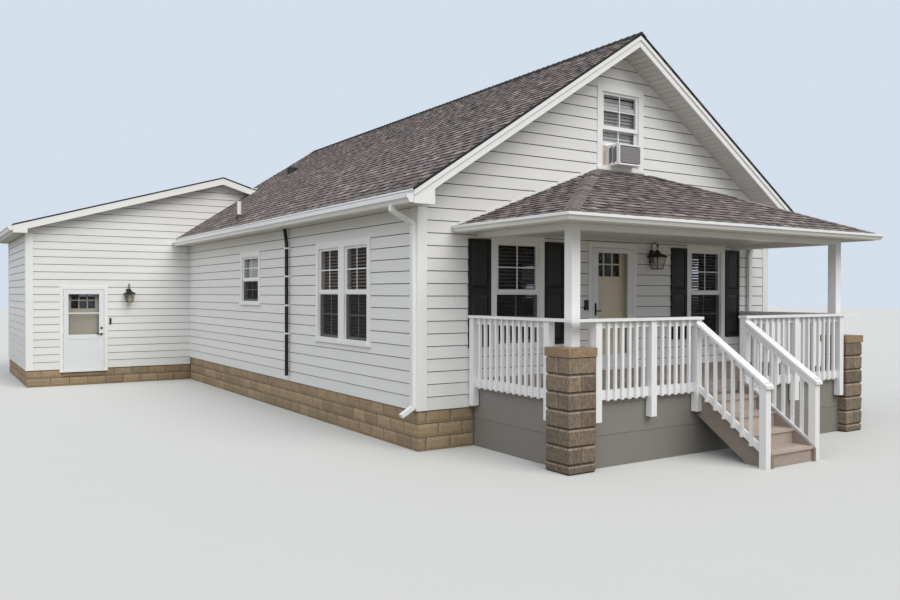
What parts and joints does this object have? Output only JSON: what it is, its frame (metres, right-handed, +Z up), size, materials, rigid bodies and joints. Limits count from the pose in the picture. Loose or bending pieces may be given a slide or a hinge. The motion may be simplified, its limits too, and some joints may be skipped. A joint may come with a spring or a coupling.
{
  "type": "gabled bungalow with a hipped front porch",
  "caption": "Gabled bungalow with lap siding, a hipped front porch on stone piers, porch steps with railings, a low rear wing and hinged storm and entry doors.",
  "frame": {"origin": "middle of the foot of the front foundation wall, at the lowest ground level, halfway through its thickness", "axes": "+X to the right along the front as seen from the street, +Y to the back, +Z up"},
  "size_m": [12.359, 19.605, 6.4099],
  "materials": {
    "siding": "satin off-white lap siding",
    "trim": "white satin",
    "white_wood": "white satin paint",
    "shingle": "rough granules",
    "gutter_white": "gloss enamel",
    "glass": "clear",
    "shutter_grey": "satin charcoal",
    "door_cream": "satin cream",
    "door_greige": "satin greige",
    "floor_wood": "satin",
    "concrete": "rough",
    "block_tan": "rock face",
    "block_brown": "rock face",
    "cap_tan": "smooth",
    "deck_taupe": "composite board",
    "skirt_grey": "satin",
    "iron_black": "satin black",
    "cooler_white": "satin",
    "vent_white": "satin"
  },
  "bodies": {
    "root": {"house_foundation": "block_tan", "wing_foundation": "block_tan", "house_floors": "floor_wood", "wing_floor": "concrete", "front_walls": "siding", "door_head_walls": "siding", "front_gable": "siding", "side_walls": "siding", "rear_wall": "siding", "wing_front_walls": "siding", "wing_side_walls": "siding", "wing_rear_wall": "siding", "corner_boards": "trim", "main_roof_left": "shingle", "main_roof_right": "shingle", "wing_roof_left": "shingle", "wing_roof_right": "shingle", "ridge_caps": "shingle", "rake_boards": "trim", "eave_boards": "trim", "soffits": "trim", "gutters": "gutter_white", "downspouts": "gutter_white", "flashings": "trim", "front_windows": "trim", "gable_window": "trim", "side_windows": "trim", "wing_windows": "trim", "window_glass": "glass", "shutters": "shutter_grey", "door_frames": "trim", "porch_roof": "shingle", "porch_ceiling": "trim", "porch_beams": "white_wood", "porch_posts": "white_wood", "porch_piers": "block_brown", "pier_caps": "cap_tan", "porch_deck": "deck_taupe", "deck_skirt": "skirt_grey", "side_railings": "white_wood", "front_railings": "white_wood", "stair_treads": "deck_taupe", "stair_stringers": "deck_taupe", "stair_railings": "white_wood", "window_cooler": "cooler_white", "lanterns": "iron_black", "roof_vents": "vent_white", "wall_pipe": "iron_black", "door_boxes": "iron_black"},
    "front_storm_door": {"front_storm_door": "trim", "front_storm_glass": "glass"},
    "front_entry_door": {"front_entry_door": "door_cream", "front_entry_glass": "glass"},
    "wing_storm_door": {"wing_storm_door": "trim", "wing_storm_glass": "glass"},
    "wing_entry_door": {"wing_entry_door": "door_greige", "wing_entry_glass": "glass"}
  },
  "joints": [
    {"name": "front_storm_hinge", "type": "hinge", "parent": "root", "child": "front_storm_door", "pos_m": [0.287, -0.147, 1.98], "axis": [0, 0, 1], "range_deg": [0, 90]},
    {"name": "front_entry_hinge", "type": "hinge", "parent": "root", "child": "front_entry_door", "pos_m": [0.287, 0.042, 1.98], "axis": [0, 0, -1], "range_deg": [0, 90]},
    {"name": "wing_storm_hinge", "type": "hinge", "parent": "root", "child": "wing_storm_door", "pos_m": [-6.847, 11.358, 1.32], "axis": [0, 0, -1], "range_deg": [0, 90]},
    {"name": "wing_entry_hinge", "type": "hinge", "parent": "root", "child": "wing_entry_door", "pos_m": [-6.847, 11.547, 1.32], "axis": [0, 0, 1], "range_deg": [0, 90]}
  ]
}
